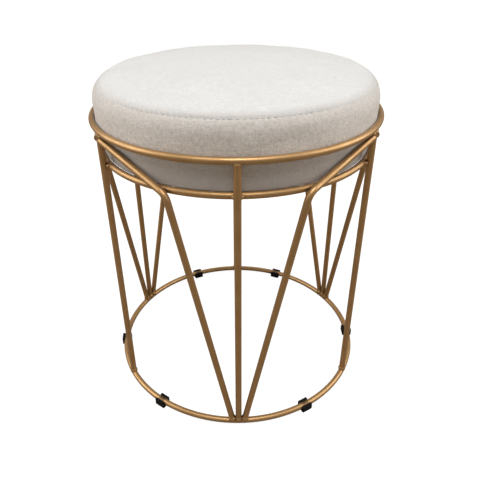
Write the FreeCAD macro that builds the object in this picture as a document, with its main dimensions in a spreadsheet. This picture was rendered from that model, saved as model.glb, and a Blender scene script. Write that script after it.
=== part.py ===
import FreeCAD, Part
import math
import os
import Sketcher
from FreeCAD import Matrix, Placement, Rotation, Vector

# A round pouf: a welded cage of round bar, a drop-in upholstered seat and clip-on glides.
# The floor is at height 0, the cage's axis is the Z axis and the front faces -Y.
# Angles go round the cage from the front, towards +X, in degrees.

# Driving dimensions in millimetres, except where a line says degrees
SIZES = {
    "bar_diameter": 8.0,
    "ring_radius": 180.0,          # centre line of the base ring and the top ring
    "support_ring_rise": 335.0,    # above the base ring, between the bars' axes
    "top_ring_rise": 376.5,        # above the base ring, between the bars' axes
    "bar_end_notch": 1.2,          # how far an upright's end is notched over a ring
    "weld_bite": 0.4,              # how far bars that cross sink into each other at the weld
    "weld_collar": 1.2,            # how far the weld round a bar's foot stands proud of the bar
    "top_weld_collar": 0.6,        # likewise under the top ring, where the seat passes
    "weld_spot": 2.6,              # radius of a weld spot beside a crossing
    "brace_foot_gap": 0.4,         # between a brace's foot and its upright, along the base ring
    "brace_bend_turn": 24.3,       # degrees from the upright at the brace's foot, for the front pair
    "back_bend_turn": 27.6,        # degrees likewise, for the two pairs at the back
    "brace_bend_drop": 1.0,        # of the bend's corner below the support ring
    "brace_bend_out": 3.4,         # of the bend's corner outside the rings' centre line
    "brace_bend_radius": 15.0,
    "brace_tip_turn": 58.2,        # degrees from the upright at the brace's foot
    "brace_tip_out": 1.2,          # of the tip's axis outside the rings' centre line
    "brace_tip_drop": 8.9,         # of the tip's axis below the top ring
    "glide_floor": 3.0,
    "glide_wall": 3.0,
    "glide_length": 14.5,
    "glide_throat": 6.4,           # the open top that the bar snaps through
    "glide_lip": 1.0,              # lead-in above the throat
    "glide_corner": 2.0,
    "glide_end_round": 0.6,
    "glide_slack": 0.15,           # round the bar
    "seat_side_gap": 0.5,          # between the seat and the braces
    "seat_rest_gap": 0.3,          # between the seat and the support ring
    "seat_weld_gap": 0.16,         # between the padded side and the welds under the top ring
    "swell_rise": 11.0,            # height over which the seat swells out, up to the top ring
    "board_thickness": 15.0,
    "board_edge": 0.5,
    "foam_thickness": 69.0,        # at the edge, without the crown
    "crown_rise": 8.0,
    "cover_thickness": 1.5,
    "edge_radius": 24.0,           # of the seat's upper edge
    "seam_turn": 40.0,             # degrees up round that edge to the seam
    "hem_width": 27.0,             # of the cover's edge folded under the board
    "lining_thickness": 0.6,
    "lining_overlap": 10.0,        # of the lining over the hem
    "staple_crown": 10.0,
    "staple_leg": 8.0,
    "staple_bar": 0.8,
}

UPRIGHTS = 6
SECTOR = 360 / UPRIGHTS
STAPLES = 24

# The glides are pushed on by hand, one between each two uprights, so they lie unevenly.
GLIDE_ANGLES = (-36.5, 31.0, 90.0, 155.0, -156.0, -85.0)

# Each ring is closed at a butt joint, this far past the right-hand side and clear of the bars.
RING_JOINT = 15.0

document = FreeCAD.newDocument("pouf")
sheet = document.addObject("Spreadsheet::Sheet", "sizes")
for row, (alias, size) in enumerate(SIZES.items(), start=1):
    sheet.set(f"A{row}", alias)
    sheet.set(f"B{row}", str(size))
    sheet.setAlias(f"B{row}", alias)
document.recompute()

# Sizes that follow from the driving ones, written as formulas over the sheet
BAR = "sizes.bar_diameter"
BAR_RADIUS = f"({BAR} / 2)"
BASE_Z = f"(sizes.glide_floor + {BAR_RADIUS})"
BAR_END_Z = f"({BASE_Z} + {BAR_RADIUS} - sizes.bar_end_notch)"
SUPPORT_Z = f"({BASE_Z} + sizes.support_ring_rise)"
TOP_Z = f"({BASE_Z} + sizes.top_ring_rise)"
RING_R = "sizes.ring_radius"
SUPPORT_R = f"({RING_R} - {BAR} + sizes.weld_bite)"

# The brace's foot, the corner of its bend and its tip, as radius, angle and height
FOOT_TURN = f"(({BAR} + sizes.brace_foot_gap) / {RING_R} * 180 / pi)"
FOOT = (RING_R, FOOT_TURN, BAR_END_Z)
BEND_R = f"({RING_R} + sizes.brace_bend_out)"
BEND_Z = f"({SUPPORT_Z} - sizes.brace_bend_drop)"
FRONT_BEND = (BEND_R, "sizes.brace_bend_turn", BEND_Z)
BACK_BEND = (BEND_R, "sizes.back_bend_turn", BEND_Z)
TIP_R = f"({RING_R} + sizes.brace_tip_out)"
TIP = (TIP_R, "sizes.brace_tip_turn", f"({TOP_Z} - sizes.brace_tip_drop)")


def plan_distance(start, end):
    """Formula for the distance between two points seen from above."""
    turn = f"cos({end[1]} - {start[1]})"
    return f"sqrt({start[0]}^2 + {end[0]}^2 - 2 * {start[0]} * {end[0]} * {turn})"


def distance(start, end):
    """Formula for the distance between two points."""
    return f"sqrt({plan_distance(start, end)}^2 + ({end[2]} - {start[2]})^2)"


# The seat inside the cage just clears the front braces, which cut across furthest, as straight chords.
CHORD_TURN = f"sin({TIP[1]} - {FRONT_BEND[1]})"
CHORD_R = f"({BEND_R} * {TIP_R} * {CHORD_TURN} / {plan_distance(FRONT_BEND, TIP)})"
SEAT_R = f"({CHORD_R} - {BAR_RADIUS} - sizes.seat_side_gap)"
TOP_BEAD = f"({BAR_RADIUS} + sizes.top_weld_collar)"
SWELL_R = f"({RING_R} - {TOP_BEAD} - sizes.seat_weld_gap)"
COVER = "sizes.cover_thickness"
HEM_EDGE = f"(sizes.board_edge + {COVER})"
HEM_R = f"({SEAT_R} - sizes.hem_width)"

# The seat's lower edge lies on the inner shoulder of the support ring.
REST_REACH = f"({BAR_RADIUS} + {HEM_EDGE} + sizes.seat_rest_gap)"
REST_RISE = f"sqrt({REST_REACH}^2 - ({SUPPORT_R} - {SEAT_R} + {HEM_EDGE})^2)"
UNDER_Z = f"({SUPPORT_Z} + {REST_RISE} - {HEM_EDGE})"
BOARD_Z = f"({UNDER_Z} + {COVER})"
FOAM_Z = f"({BOARD_Z} + sizes.board_thickness)"
SWELL_Z = f"({TOP_Z} - {BAR})"
WAIST_Z = f"({SWELL_Z} - sizes.swell_rise)"
SHOULDER_Z = f"({FOAM_Z} + sizes.foam_thickness + {COVER})"
EDGE_Z = f"({SHOULDER_Z} - sizes.edge_radius)"
EDGE_R = f"({SWELL_R} - sizes.edge_radius)"
CROWN_Z = f"({SHOULDER_Z} + sizes.crown_rise)"
CROWN_R = f"(({EDGE_R}^2 + sizes.crown_rise^2) / (2 * sizes.crown_rise))"


def value(formula):
    """Number that a formula over the sheet gives now."""
    return float(sheet.evalExpression(formula))


def polar(radius, angle, height):
    """Point at a radius and an angle round the cage."""
    turn = math.radians(angle)
    return Vector(radius * math.sin(turn), -radius * math.cos(turn), height)


def origin_item(body, role):
    """Axis or plane of a body's own origin."""
    return next(item for item in body.Origin.OriginFeatures if item.Role == role)


def sketch_on(body, name, role):
    """Sketch on one of a body's own origin planes."""
    sketch = body.newObject("Sketcher::SketchObject", name)
    sketch.AttachmentSupport = [(origin_item(body, role), "")]
    sketch.MapMode = "FlatFace"
    return sketch


def constrain(sketch, kind, *places, formula):
    """Dimension in a sketch that follows a formula."""
    index = sketch.addConstraint(Sketcher.Constraint(kind, *places, value(formula)))
    sketch.setExpression(f"Constraints[{index}]", formula)


def arc_between(start, end, radius, turn):
    """Arc of a radius from start to end, anticlockwise where turn is 1 and clockwise where it is -1."""
    step = end - start
    side = Vector(-step.y, step.x, 0).normalize()
    reach = math.sqrt(max(radius**2 - (step.Length / 2) ** 2, 0))
    centre = start + step / 2 + side * reach * turn
    first, last = (start, end) if turn > 0 else (end, start)
    angles = [math.atan2(point.y - centre.y, point.x - centre.x) for point in (first, last)]
    if angles[1] < angles[0]:
        angles[1] += 2 * math.pi
    return Part.ArcOfCircle(Part.Circle(centre, Vector(0, 0, 1), radius), *angles)


def draw_outline(sketch, corners):
    """Closed outline through corners (across, up, bulge, turn).

    The stretch after a corner is straight where its bulge is None, and otherwise an arc of that radius.
    """
    places = [Vector(value(across), value(up), 0) for across, up, _, _ in corners]
    ends = []
    for number, (_, _, bulge, turn) in enumerate(corners):
        start = places[number]
        end = places[(number + 1) % len(places)]
        if bulge is None:
            geometry = sketch.addGeometry(Part.LineSegment(start, end), False)
        else:
            geometry = sketch.addGeometry(arc_between(start, end, value(bulge), turn), False)
        ends.append((geometry, (1, 2) if turn >= 0 else (2, 1)))
    for number, (across, up, bulge, _) in enumerate(corners):
        geometry, (first, last) = ends[number]
        following, (next_first, _) = ends[(number + 1) % len(ends)]
        sketch.addConstraint(Sketcher.Constraint("Coincident", geometry, last, following, next_first))
        if across == "0":
            sketch.addConstraint(Sketcher.Constraint("PointOnObject", geometry, first, -2))
        else:
            constrain(sketch, "DistanceX", -1, 1, geometry, first, formula=across)
        if up == "0":
            sketch.addConstraint(Sketcher.Constraint("PointOnObject", geometry, first, -1))
        else:
            constrain(sketch, "DistanceY", -1, 1, geometry, first, formula=up)
        if bulge is not None:
            constrain(sketch, "Radius", geometry, formula=bulge)


def revolved(label, corners, sweep=None):
    """Body turned about the cage's axis from an outline, all the way round or over a sweep in degrees."""
    body = document.addObject("PartDesign::Body", label)
    sketch = sketch_on(body, f"{label}_outline", "XZ_Plane")
    draw_outline(sketch, corners)
    turned = body.newObject("PartDesign::Revolution", f"{label}_turned")
    turned.Profile = sketch
    turned.ReferenceAxis = (sketch, ["V_Axis"])
    if sweep is None:
        turned.Angle = 360
    else:
        turned.setExpression("Angle", sweep)
        turned.Midplane = True
    document.recompute()
    return body


def trimmed(label, blank, tools):
    """Blank with one or more tools cut away."""
    result = blank
    for number, tool in enumerate(tools, start=1):
        cut = document.addObject("Part::Cut", f"{label}_cut_{number}")
        cut.Base = result
        cut.Tool = tool
        result = cut
    return result


def compound(name, members):
    """Loose group of solids."""
    group = document.addObject("Part::Compound", name)
    group.Links = members
    return group


# Rings

def ring(name, radius, height):
    """Ring of round bar."""
    torus = document.addObject("Part::Torus", name)
    torus.setExpression("Radius1", radius)
    torus.setExpression("Radius2", BAR_RADIUS)
    torus.Placement = Placement(Vector(), Rotation(Vector(0, 0, 1), RING_JOINT))
    torus.setExpression("Placement.Base.z", height)
    return torus


base_ring = ring("base_ring", RING_R, BASE_Z)
top_ring = ring("top_ring", RING_R, TOP_Z)
support_blank = ring("support_ring_blank", SUPPORT_R, SUPPORT_Z)


# Uprights, with their ends notched over the rings

def upright(number):
    """One straight upright."""
    angle = (number - 1) * SECTOR
    bar = document.addObject("Part::Cylinder", f"upright_{number}_blank")
    bar.setExpression("Radius", BAR_RADIUS)
    bar.setExpression("Height", f"sizes.top_ring_rise - {BAR} + 2 * sizes.bar_end_notch")
    bar.setExpression("Placement.Base.x", f"{RING_R} * sin({angle})")
    bar.setExpression("Placement.Base.y", f"-{RING_R} * cos({angle})")
    bar.setExpression("Placement.Base.z", BAR_END_Z)
    return trimmed(f"upright_{number}", bar, [base_ring, top_ring])


uprights = {f"upright_{number}": upright(number) for number in range(1, UPRIGHTS + 1)}


# Braces, in pairs from every second upright

def brace_blank(name, corner):
    """Bent bar in its own plane, with the corner of its bend at the origin and its foot along -X."""
    body = document.addObject("PartDesign::Body", name)
    lower = distance(FOOT, corner)
    upper = distance(corner, TIP)
    across = distance(FOOT, TIP)
    bend = value("sizes.brace_bend_radius")
    foot = Vector(-value(lower), 0, 0)
    spread = (value(lower) ** 2 + value(upper) ** 2 - value(across) ** 2) / (2 * value(lower) * value(upper))
    turn = math.pi - math.acos(spread)
    tip = Vector(math.cos(turn), math.sin(turn), 0) * value(upper)
    setback = bend * math.tan(turn / 2)
    bend_start = Vector(-setback, 0, 0)
    bend_end = tip * (setback / tip.Length)

    path = sketch_on(body, f"{name}_path", "XY_Plane")
    leg = path.addGeometry(Part.LineSegment(foot, bend_start), False)
    curve = path.addGeometry(arc_between(bend_start, bend_end, bend, 1), False)
    arm = path.addGeometry(Part.LineSegment(bend_end, tip), False)
    path.addConstraint(Sketcher.Constraint("Tangent", leg, 2, curve, 1))
    path.addConstraint(Sketcher.Constraint("Tangent", curve, 2, arm, 1))
    path.addConstraint(Sketcher.Constraint("PointOnObject", leg, 1, -1))
    path.addConstraint(Sketcher.Constraint("PointOnObject", leg, 2, -1))
    path.addConstraint(Sketcher.Constraint("PointOnObject", -1, 1, arm))
    constrain(path, "Radius", curve, formula="sizes.brace_bend_radius")
    constrain(path, "DistanceX", leg, 1, -1, 1, formula=lower)
    constrain(path, "Distance", -1, 1, arm, 2, formula=upper)
    constrain(path, "Distance", leg, 1, arm, 2, formula=across)

    section = sketch_on(body, f"{name}_section", "YZ_Plane")
    section.setExpression("AttachmentOffset.Base.z", f"-{lower}")
    circle = section.addGeometry(Part.Circle(Vector(), Vector(0, 0, 1), value(BAR_RADIUS)), False)
    section.addConstraint(Sketcher.Constraint("Coincident", circle, 3, -1, 1))
    constrain(section, "Radius", circle, formula=BAR_RADIUS)

    pipe = body.newObject("PartDesign::AdditivePipe", f"{name}_bar")
    pipe.Profile = section
    pipe.Spine = path
    document.recompute()
    return body


def brace_hand(number):
    """Angle of the upright that a brace starts from, and the way it turns from there."""
    return (number - 1) // 2 * 2 * SECTOR, 1 if number % 2 else -1


def brace_bend(number):
    """Corner of one brace's bend: the front pair is bent a little closer to its upright than the others."""
    return FRONT_BEND if brace_hand(number)[0] == 0 else BACK_BEND


def brace_points(number):
    """Foot, bend corner and tip of one brace."""
    start, side = brace_hand(number)
    return [
        polar(value(radius), start + side * value(turn), value(height))
        for radius, turn, height in (FOOT, brace_bend(number), TIP)
    ]


def brace(number):
    """One bent brace: odd numbers turn one way from their upright and even numbers the other."""
    foot, bend, tip = brace_points(number)
    along = (bend - foot).normalize()
    rest = tip - bend
    across = (rest - along * rest.dot(along)).normalize()
    face = along.cross(across)
    blank = brace_blank(f"brace_{number}_blank", brace_bend(number))
    blank.Placement = Placement(Matrix(
        along.x, across.x, face.x, bend.x,
        along.y, across.y, face.y, bend.y,
        along.z, across.z, face.z, bend.z,
    ))
    start, side = brace_hand(number)
    reached = int(start / SECTOR + side) % UPRIGHTS + 1
    return trimmed(f"brace_{number}", blank, [base_ring, uprights[f"upright_{reached}"]])


braces = {f"brace_{number}": brace(number) for number in range(1, UPRIGHTS + 1)}

# The support ring is let into the bars that are welded to it.
bars = compound("bars", list(uprights.values()) + list(braces.values()))
support_ring = trimmed("support_ring", support_blank, [bars])


# Welds, as rounded beads with the bars cut out of them

FOOT_BEAD = f"({BAR_RADIUS} + sizes.weld_collar)"
TIP_BEAD = "(sizes.weld_spot + sizes.top_weld_collar)"


def weld_ball(name, centre, radius):
    """Ball of weld metal round a joint."""
    ball = document.addObject("Part::Sphere", name)
    ball.setExpression("Radius", radius)
    ball.Placement = Placement(centre, Rotation())
    return ball


def welds(label, places, ring_bar):
    """Beads at a list of (centre, radius) along one ring, run together where they meet."""
    blank = document.addObject("Part::MultiFuse", f"{label}_blank")
    blank.Shapes = [
        weld_ball(f"{label}_ball_{number}", *place) for number, place in enumerate(places, start=1)
    ]
    return trimmed(label, blank, [ring_bar, *uprights.values(), *braces.values()])


def base_weld_places():
    """Places under the foot of every upright and brace, on top of the base ring."""
    height = value(f"{BASE_Z} + {BAR_RADIUS}")
    angles = [number * SECTOR for number in range(UPRIGHTS)]
    angles += [start + side * value(FOOT_TURN) for start, side in map(brace_hand, range(1, UPRIGHTS + 1))]
    return [(polar(value(RING_R), angle, height), FOOT_BEAD) for angle in angles]


def top_weld_places():
    """Places under the top ring, at the top of every upright and the tip of every brace."""
    height = value(f"{TOP_Z} - {BAR_RADIUS}")
    places = [(polar(value(RING_R), number * SECTOR, height), TOP_BEAD) for number in range(UPRIGHTS)]
    for number in range(1, UPRIGHTS + 1):
        tip = brace_points(number)[2]
        above = Vector(tip.x, tip.y, 0).normalize() * value(RING_R) + Vector(0, 0, value(TOP_Z))
        places.append(((tip + above) / 2, TIP_BEAD))
    return places


def support_weld_places():
    """Places on both sides of every bar, where it crosses the support ring."""
    axis = Vector(0, 0, 1)
    centre_line = Part.Circle(axis * value(SUPPORT_Z), axis, value(SUPPORT_R)).toShape()
    lines = []
    for number in range(UPRIGHTS):
        lines.append([polar(value(RING_R), number * SECTOR, value(height)) for height in (BASE_Z, TOP_Z)])
        lines.append(brace_points(number + 1)[1:])
    places = []
    for start, end in lines:
        nearest = centre_line.distToShape(Part.LineSegment(start, end).toShape())[1][0]
        contact = (nearest[0] + nearest[1]) / 2
        along = axis.cross(nearest[0]).normalize()
        places += [(contact + along * value(BAR_RADIUS) * side, "sizes.weld_spot") for side in (-1, 1)]
    return places


frame_welds = {
    "base_welds": welds("base_welds", base_weld_places(), base_ring),
    "support_welds": welds("support_welds", support_weld_places(), support_blank),
    "top_welds": welds("top_welds", top_weld_places(), top_ring),
}


# Glides

def is_end_edge(edge):
    """Whether an edge runs down or under one of a glide's ends, on the outside of the clip."""
    along = Vector(0, 1, 0)
    middle = edge.valueAt((edge.FirstParameter + edge.LastParameter) / 2)
    across = math.hypot(middle.x, middle.y) - value(RING_R)
    lies_flat = abs((edge.Vertexes[0].Point - edge.Vertexes[-1].Point).dot(along)) < value("sizes.glide_wall")
    outside = abs(across) > value(f"{BAR_RADIUS} + sizes.glide_wall - sizes.glide_corner")
    under = middle.z < value("sizes.glide_floor") / 2
    return lies_flat and (under or outside) and middle.z < value(BASE_Z)


def glide(number, angle):
    """One U-shaped clip that follows the base ring's curve, with the bar showing in its open top."""
    half = f"({BAR_RADIUS} + sizes.glide_wall)"
    slot = f"({BAR_RADIUS} + sizes.glide_slack)"
    throat = "(sizes.glide_throat / 2)"
    throat_z = f"({BASE_Z} + sqrt({slot}^2 - {throat}^2))"
    lip_z = f"({throat_z} + sizes.glide_lip)"
    corner = "sizes.glide_corner"
    corners = [
        (f"{RING_R} - {half} + {corner}", "0", None, 0),
        (f"{RING_R} + {half} - {corner}", "0", corner, 1),
        (f"{RING_R} + {half}", corner, None, 0),
        (f"{RING_R} + {half}", lip_z, None, 0),
        (f"{RING_R} + {throat} + sizes.glide_lip", lip_z, None, 0),
        (f"{RING_R} + {throat}", throat_z, slot, -1),
        (RING_R, f"{BASE_Z} - {slot}", slot, -1),
        (f"{RING_R} - {throat}", throat_z, None, 0),
        (f"{RING_R} - {throat} - sizes.glide_lip", lip_z, None, 0),
        (f"{RING_R} - {half}", lip_z, None, 0),
        (f"{RING_R} - {half}", corner, corner, 1),
    ]
    label = f"glide_{number}"
    body = revolved(label, corners, f"sizes.glide_length / {RING_R} * 180 / pi")
    clip = body.Tip
    rounded_edges = [
        f"Edge{index}" for index, edge in enumerate(clip.Shape.Edges, start=1) if is_end_edge(edge)
    ]
    rounded = body.newObject("PartDesign::Fillet", f"{label}_rounded")
    rounded.Base = (clip, rounded_edges)
    rounded.setExpression("Radius", "sizes.glide_end_round")
    document.recompute()
    body.Placement = Placement(Vector(), Rotation(Vector(0, 0, 1), angle - 90))
    return body


glides = {f"glide_{number}": glide(number, angle) for number, angle in enumerate(GLIDE_ANGLES, start=1)}


# Seat

def edge_point(inset, turn):
    """Point on the rounded upper edge, set in from the outside, at an angle up round that edge."""
    reach = f"(sizes.edge_radius - {inset})"
    return f"({EDGE_R} + {reach} * cos({turn}))", f"({EDGE_Z} + {reach} * sin({turn}))"


def edge_arc(inset):
    """Radius of the rounded upper edge, set in from the outside."""
    return f"(sizes.edge_radius - {inset})"


def seat_board_blank():
    """Round board, before it is stapled."""
    radius = f"({SEAT_R} - {COVER})"
    return revolved("seat_board_blank", [
        ("0", BOARD_Z, None, 0),
        (f"{radius} - sizes.board_edge", BOARD_Z, "sizes.board_edge", 1),
        (radius, f"{BOARD_Z} + sizes.board_edge", None, 0),
        (radius, FOAM_Z, None, 0),
        ("0", FOAM_Z, None, 0),
    ])


def seat_foam():
    """Foam block with a soft upper edge and a low crown."""
    side = edge_point(COVER, 0)
    shoulder = edge_point(COVER, 90)
    return revolved("seat_foam", [
        ("0", FOAM_Z, None, 0),
        (f"{SEAT_R} - {COVER}", FOAM_Z, None, 0),
        (f"{SEAT_R} - {COVER}", WAIST_Z, None, 0),
        (f"{SWELL_R} - {COVER}", SWELL_Z, None, 0),
        (*side, edge_arc(COVER), 1),
        (*shoulder, CROWN_R, 1),
        ("0", f"{CROWN_Z} - {COVER}", None, 0),
    ])


def cover_top():
    """Top panel of the cover, from the seam inwards."""
    outer_seam = edge_point("0", "sizes.seam_turn")
    outer_shoulder = edge_point("0", 90)
    inner_seam = edge_point(COVER, "sizes.seam_turn")
    inner_shoulder = edge_point(COVER, 90)
    return revolved("cover_top", [
        (*outer_seam, edge_arc("0"), 1),
        (*outer_shoulder, CROWN_R, 1),
        ("0", CROWN_Z, None, 0),
        ("0", f"{CROWN_Z} - {COVER}", CROWN_R, -1),
        (*inner_shoulder, edge_arc(COVER), -1),
        (*inner_seam, None, 0),
    ])


def cover_side_blank():
    """Side band of the cover, from the seam down and in under the board, before it is stapled."""
    inner = f"({SEAT_R} - {COVER})"
    outer_side = edge_point("0", 0)
    outer_seam = edge_point("0", "sizes.seam_turn")
    inner_side = edge_point(COVER, 0)
    inner_seam = edge_point(COVER, "sizes.seam_turn")
    return revolved("cover_side_blank", [
        (HEM_R, UNDER_Z, None, 0),
        (f"{SEAT_R} - {HEM_EDGE}", UNDER_Z, HEM_EDGE, 1),
        (SEAT_R, f"{UNDER_Z} + {HEM_EDGE}", None, 0),
        (SEAT_R, WAIST_Z, None, 0),
        (SWELL_R, SWELL_Z, None, 0),
        (*outer_side, edge_arc("0"), 1),
        (*outer_seam, None, 0),
        (*inner_seam, edge_arc(COVER), -1),
        (*inner_side, None, 0),
        (f"{SWELL_R} - {COVER}", SWELL_Z, None, 0),
        (inner, WAIST_Z, None, 0),
        (inner, f"{BOARD_Z} + sizes.board_edge", "sizes.board_edge", -1),
        (f"{inner} - sizes.board_edge", BOARD_Z, None, 0),
        (HEM_R, BOARD_Z, None, 0),
    ])


LINING_R = f"({HEM_R} + sizes.lining_overlap)"
LINING_Z = f"({UNDER_Z} - sizes.lining_thickness)"


def seat_lining_blank():
    """Thin lining under the board, before it is stapled."""
    return revolved("seat_lining_blank", [
        ("0", LINING_Z, None, 0),
        (LINING_R, LINING_Z, None, 0),
        (LINING_R, UNDER_Z, None, 0),
        ("0", UNDER_Z, None, 0),
    ])


def lining_staples():
    """Ring of staples through the lining and the hem into the board."""
    body = document.addObject("PartDesign::Body", "lining_staples")
    body.AllowCompound = True
    half = "(sizes.staple_crown / 2)"
    bar = "sizes.staple_bar"
    crown_z = f"({LINING_Z} - {bar})"
    leg_z = f"({LINING_Z} + sizes.staple_leg)"
    corners = [
        (half, crown_z), (half, leg_z), (f"{half} - {bar}", leg_z), (f"{half} - {bar}", LINING_Z),
        (f"{bar} - {half}", LINING_Z), (f"{bar} - {half}", leg_z), (f"-{half}", leg_z), (f"-{half}", crown_z),
    ]
    sketch = sketch_on(body, "staple_outline", "XZ_Plane")
    sketch.setExpression("AttachmentOffset.Base.z", f"{HEM_R} + sizes.lining_overlap / 2")
    draw_outline(sketch, [(across, up, None, 0) for across, up in corners])
    pad = body.newObject("PartDesign::Pad", "staple")
    pad.Profile = sketch
    pad.setExpression("Length", bar)
    document.recompute()
    row = body.newObject("PartDesign::PolarPattern", "staple_row")
    row.Originals = [pad]
    row.Axis = (origin_item(body, "Z_Axis"), [""])
    row.Angle = 360
    row.Occurrences = STAPLES
    body.Tip = row
    document.recompute()
    return body


staples = lining_staples()
seat_parts = {
    "seat_board": trimmed("seat_board", seat_board_blank(), [staples]),
    "seat_foam": seat_foam(),
    "cover_top": cover_top(),
    "cover_side": trimmed("cover_side", cover_side_blank(), [staples]),
    "seat_lining": trimmed("seat_lining", seat_lining_blank(), [staples]),
    "lining_staples": staples,
}

# Labels, checks and files
rings = {"base_ring": base_ring, "support_ring": support_ring, "top_ring": top_ring}
parts = {**rings, **uprights, **braces, **frame_welds, **glides, **seat_parts}
for node, item in parts.items():
    item.Label = node
document.recompute()

for item in document.Objects:
    if "Invalid" in item.State or "Error" in item.State:
        raise RuntimeError(f"{item.Label} did not build: {item.State}")
for node, item in parts.items():
    if item.Shape.isNull() or not item.Shape.isValid():
        raise RuntimeError(f"{node} has no valid shape")

os.makedirs("parts", exist_ok=True)
for node, item in parts.items():
    item.Shape.exportStep(f"parts/{node}.step")
    print(node, len(item.Shape.Solids), round(item.Shape.Volume, 1))
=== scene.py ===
import math

import bpy
import numpy as np
from mathutils import Matrix, Vector, noise


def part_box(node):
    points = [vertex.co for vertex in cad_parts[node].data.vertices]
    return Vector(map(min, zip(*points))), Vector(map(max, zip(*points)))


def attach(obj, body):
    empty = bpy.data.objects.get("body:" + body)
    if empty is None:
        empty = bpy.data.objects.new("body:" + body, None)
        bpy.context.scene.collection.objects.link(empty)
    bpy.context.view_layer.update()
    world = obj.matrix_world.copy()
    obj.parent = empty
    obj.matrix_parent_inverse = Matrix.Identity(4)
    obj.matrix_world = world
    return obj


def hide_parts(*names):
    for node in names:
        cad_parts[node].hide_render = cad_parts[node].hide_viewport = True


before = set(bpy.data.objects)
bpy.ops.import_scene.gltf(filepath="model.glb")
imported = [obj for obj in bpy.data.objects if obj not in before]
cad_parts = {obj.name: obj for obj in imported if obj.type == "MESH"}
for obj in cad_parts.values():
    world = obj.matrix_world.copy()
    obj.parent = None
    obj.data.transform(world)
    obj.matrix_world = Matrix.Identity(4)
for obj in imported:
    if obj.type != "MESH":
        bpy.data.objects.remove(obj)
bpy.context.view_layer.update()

bl_info = {
    "name": "Round wire pouf",
    "version": (1, 0, 0),
    "blender": (4, 5, 0),
    "location": "3D View > Sidebar > Pouf",
    "description": "Dresses the packed model of a round wire pouf: cage, stuffed seat, glides and studio",
    "category": "Object",
}

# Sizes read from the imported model, in metres
SIDE_LOW, SIDE_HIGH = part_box("cover_side")
LINING_LOW, LINING_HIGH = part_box("seat_lining")
RING_LOW, RING_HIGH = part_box("top_ring")
SUPPORT_LOW, SUPPORT_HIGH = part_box("support_ring")
SEAT_RADIUS = SIDE_HIGH.x
SEAT_BASE = SIDE_LOW.z
SEAM_HEIGHT = SIDE_HIGH.z
CROWN_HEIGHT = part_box("cover_top")[1].z
LINING_RADIUS = LINING_HIGH.x
RING_HEIGHT = (RING_LOW.z + RING_HIGH.z) / 2
SUPPORT_HEIGHT = (SUPPORT_LOW.z + SUPPORT_HIGH.z) / 2


def numbered(name, count=6):
    """The names of the like pieces in a set."""
    return [f"{name}_{number}" for number in range(1, count + 1)]


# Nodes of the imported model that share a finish
FRAME_BARS = ["base_ring", "support_ring", "top_ring", *numbered("upright"), *numbered("brace")]
FRAME_WELDS = ["base_welds", "support_welds", "top_welds"]
GLIDES = numbered("glide")


# Settings

def length(label, description, default):
    """A size in metres that the sidebar shows as a length."""
    return bpy.props.FloatProperty(
        name=label, description=description, default=default, min=0.0, unit="LENGTH", precision=5
    )


def colour(label, description, default):
    """An opaque colour."""
    return bpy.props.FloatVectorProperty(
        name=label,
        description=description,
        default=(*default, 1.0),
        size=4,
        min=0.0,
        max=1.0,
        subtype="COLOR",
    )


def amount(label, description, default, most=1.0):
    """A plain number with no unit."""
    return bpy.props.FloatProperty(name=label, description=description, default=default, min=0.0, max=most)


def count(label, description, default, least, most):
    """A whole number of like things."""
    return bpy.props.IntProperty(name=label, description=description, default=default, min=least, max=most)


def power(label, description, default):
    """The power of a light in watts."""
    return bpy.props.FloatProperty(
        name=label, description=description, default=default, min=0.0, subtype="POWER", unit="POWER"
    )


class PoufSeatSettings(bpy.types.PropertyGroup):
    """Sizes of the upholstered seat."""

    edge_radius: length("Edge radius", "Roundness of the pad's upper edge", 0.024)
    waist_inset: length("Waist inset", "How far the pad is drawn in between the braces", 0.0054)
    waist_height: length("Waist height", "Height of the drawn-in part above the pad's underside", 0.02015)
    swell_height: length("Swell height", "Height above the underside where the full width starts", 0.03115)
    bulge: length("Bulge", "How far the stuffed side bellies out over the top ring", 0.00125)
    seam_turn: bpy.props.FloatProperty(
        name="Seam turn",
        description="How far up round the pad's edge the seam lies",
        default=math.radians(40),
        min=0.0,
        max=math.pi / 2,
        unit="ROTATION",
    )
    hem_corner: length("Hem corner", "Roundness of the pad's lower edge", 0.002)
    hem_width: length("Hem width", "Width of the cover that is folded under the board", 0.027)
    cloth_thickness: length("Cloth thickness", "Thickness of the cover with its backing", 0.0015)
    slack_top: length("Slack of the top", "How far the loose top panel lies inside its form", 0.0006)
    slack_side: length("Slack of the side", "How far the loose side band lies inside its form", 0.0005)
    swell_limit: length("Swell limit", "The most that stuffing may move a point of the cover", 0.006)
    stuffing: amount("Stuffing", "Pressure inside the cover while it is stuffed", 0.3, 50.0)
    seam_width: length("Seam width", "Width over which each panel rolls into the seam", 0.004)
    seam_depth: length("Seam depth", "Depth of the seam's groove where it is tight", 0.0008)
    stitch_count: count("Stitches", "Stitches round the seam", 168, 24, 400)
    pucker_depth: length("Pucker depth", "Depth of the puckers between stitches", 0.0012)
    pucker_reach: length("Pucker reach", "How far the puckers run out from the seam", 0.006)
    lump_height: length("Lump height", "Unevenness of the stuffed cover", 0.0007)
    pleat_count: count("Pleats", "Pleats where the cover is gathered under the board", 42, 8, 120)
    pleat_depth: length("Pleat depth", "Depth of the pleats under the board", 0.0009)
    lining_sag: length("Lining sag", "How far the lining hangs down in the middle", 0.0022)


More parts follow.
